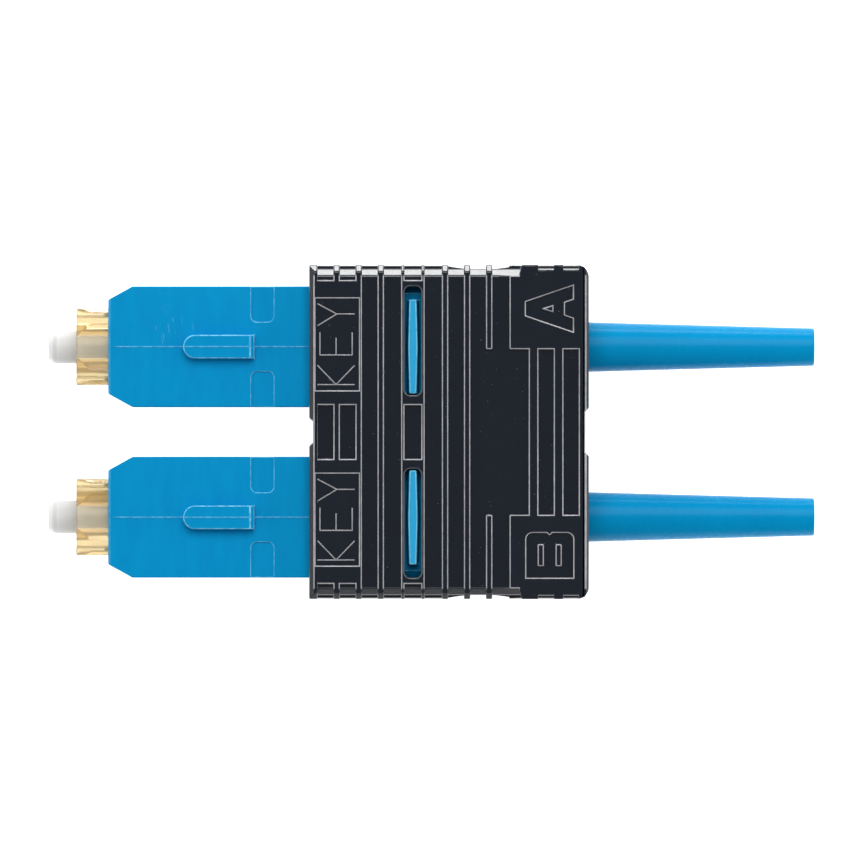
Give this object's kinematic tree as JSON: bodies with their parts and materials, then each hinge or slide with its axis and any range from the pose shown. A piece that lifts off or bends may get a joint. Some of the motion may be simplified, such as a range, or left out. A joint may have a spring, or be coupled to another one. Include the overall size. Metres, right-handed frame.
{
  "type": "duplex sc fibre connector",
  "caption": "Duplex push-pull fibre connector: keyed plugs with sprung ceramic ferrules and tapered boots, held side by side in a ribbed clip.",
  "frame": {"origin": "midway between the polished ends of the two ferrules, on the plane of the fibre axes", "axes": "+X runs back along the plugs from the ferrules to the boots, +Y from plug b to plug a, +Z to the side of the housing keys"},
  "size_m": [0.0573, 0.025, 0.0106],
  "materials": {
    "clip_plastic": "glossy blue-black moulding",
    "housing_plastic": "smooth satin blue moulding",
    "frame_plastic": "clear amber moulding",
    "ferrule_ceramic": "polished white zirconia",
    "flange_metal": "turned",
    "tube_plastic": "plain extruded tube",
    "spring_steel": "drawn wire",
    "body_metal": "nickel plated, turned",
    "crimp_metal": "plain, drawn tube",
    "boot_rubber": "smooth blue elastomer"
  },
  "bodies": {
    "shell": {"clip_upper": "clip_plastic", "clip_lower": "clip_plastic", "outer_housing_a": "housing_plastic", "outer_housing_b": "housing_plastic"},
    "inner_a": {"plug_frame_a": "frame_plastic", "rear_body_a": "body_metal", "crimp_ring_a": "crimp_metal", "boot_a": "boot_rubber", "spring_a": "spring_steel"},
    "inner_b": {"plug_frame_b": "frame_plastic", "rear_body_b": "body_metal", "crimp_ring_b": "crimp_metal", "boot_b": "boot_rubber", "spring_b": "spring_steel"},
    "core_a": {"ferrule_a": "ferrule_ceramic", "ferrule_flange_a": "flange_metal", "guide_tube_a": "tube_plastic"},
    "core_b": {"ferrule_b": "ferrule_ceramic", "ferrule_flange_b": "flange_metal", "guide_tube_b": "tube_plastic"}
  },
  "joints": [
    {"name": "push_pull_a", "type": "slide", "parent": "shell", "child": "inner_a", "axis": [-1, 0, 0], "range_m": [0, 0.002]},
    {"name": "push_pull_b", "type": "slide", "parent": "shell", "child": "inner_b", "axis": [-1, 0, 0], "range_m": [0, 0.002]},
    {"name": "ferrule_float_a", "type": "slide", "parent": "inner_a", "child": "core_a", "axis": [1, 0, 0], "range_m": [0, 0.001], "stiffness_N_per_m": 4500, "deforming": ["spring_a"]},
    {"name": "ferrule_float_b", "type": "slide", "parent": "inner_b", "child": "core_b", "axis": [1, 0, 0], "range_m": [0, 0.001], "stiffness_N_per_m": 4500, "deforming": ["spring_b"]}
  ]
}
